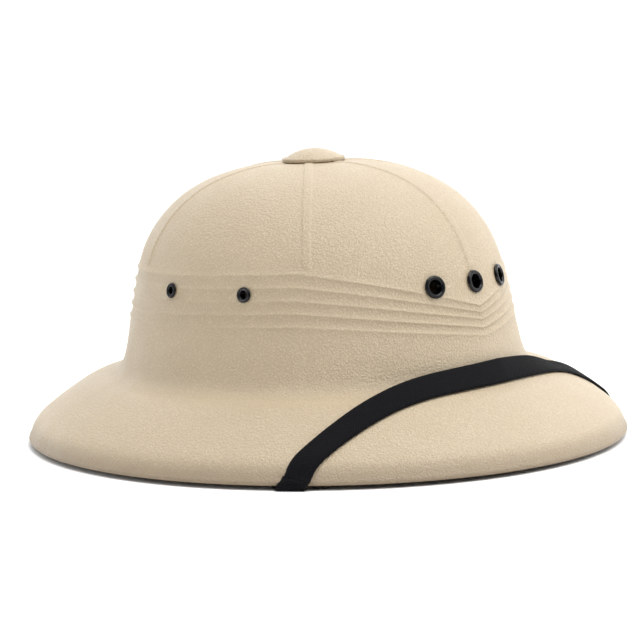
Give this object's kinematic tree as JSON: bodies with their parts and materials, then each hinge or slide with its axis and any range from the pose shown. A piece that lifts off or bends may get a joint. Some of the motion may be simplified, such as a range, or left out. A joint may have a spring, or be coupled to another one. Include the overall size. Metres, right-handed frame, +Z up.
{
  "type": "pith helmet",
  "caption": "Moulded sun helmet with a domed ribbed crown, a wide sloping brim, a top button, ringed vent holes and a woven chin strap worn over the brim.",
  "frame": {"origin": "middle of the helmet's outline, on the surface that it stands on", "axes": "+Z up through the crown, +Y towards the rear of the brim, +X towards the wearer's left"},
  "size_m": [0.2688, 0.318, 0.143],
  "materials": {
    "shell": "satin khaki moulded shell with a fine pebbled grain",
    "button": "satin khaki with a fine pebbled grain",
    "eyelet": "gloss black enamel",
    "strap": "matt black woven webbing",
    "pin": "plain satin metal"
  },
  "bodies": {
    "root": {"shell": "shell", "crown_button": "button", "eyelet_front_centre": "eyelet", "eyelet_front_left": "eyelet", "eyelet_front_right": "eyelet", "eyelet_left_front": "eyelet", "eyelet_left_rear": "eyelet", "eyelet_right_front": "eyelet", "eyelet_right_rear": "eyelet", "chin_strap": "strap", "strap_pin_left": "pin", "strap_pin_right": "pin"}
  },
  "joints": []
}
